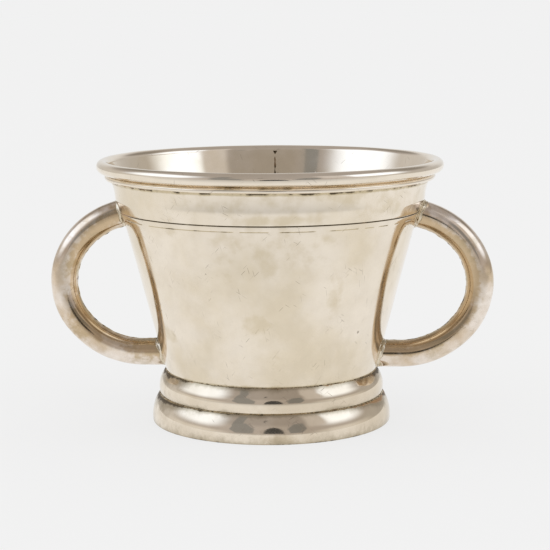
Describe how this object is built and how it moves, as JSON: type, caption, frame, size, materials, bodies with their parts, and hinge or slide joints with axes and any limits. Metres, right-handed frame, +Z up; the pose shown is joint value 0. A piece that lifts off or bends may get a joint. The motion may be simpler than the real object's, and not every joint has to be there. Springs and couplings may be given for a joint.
{
  "type": "two-handled cup",
  "caption": "Silver caudle cup with a flared bowl, wired rim, scribed collar lines, a banded hollow foot and bent tube loop handles.",
  "frame": {"origin": "centre of the standing face, on the cup's axis", "axes": "+Z up along the cup's axis, +X through the right handle, +Y to the back"},
  "size_m": [0.1448, 0.112, 0.0856],
  "materials": {
    "bowl_silver": "polished silver, softly worn, warm tarnish in the corners",
    "rim_silver": "polished silver, warm tarnish under the lip",
    "foot_silver": "polished silver, warm tarnish between the bands",
    "handle_silver": "polished silver, browner tarnish inside the loops",
    "solder": "dull tarnished silver solder"
  },
  "bodies": {
    "root": {"bowl_wall": "bowl_silver", "wall_seam": "solder", "bowl_bottom": "bowl_silver", "bottom_solder": "solder", "rim_wire": "rim_silver", "rim_bead": "rim_silver", "rim_wire_solder": "solder", "rim_bead_solder": "solder", "foot_upper_band": "foot_silver", "foot_lower_band": "foot_silver", "foot_upper_solder": "solder", "foot_lower_solder": "solder", "right_handle": "handle_silver", "right_handle_seam": "solder", "right_upper_solder": "solder", "right_lower_solder": "solder", "left_handle": "handle_silver", "left_handle_seam": "solder", "left_upper_solder": "solder", "left_lower_solder": "solder"}
  },
  "joints": []
}
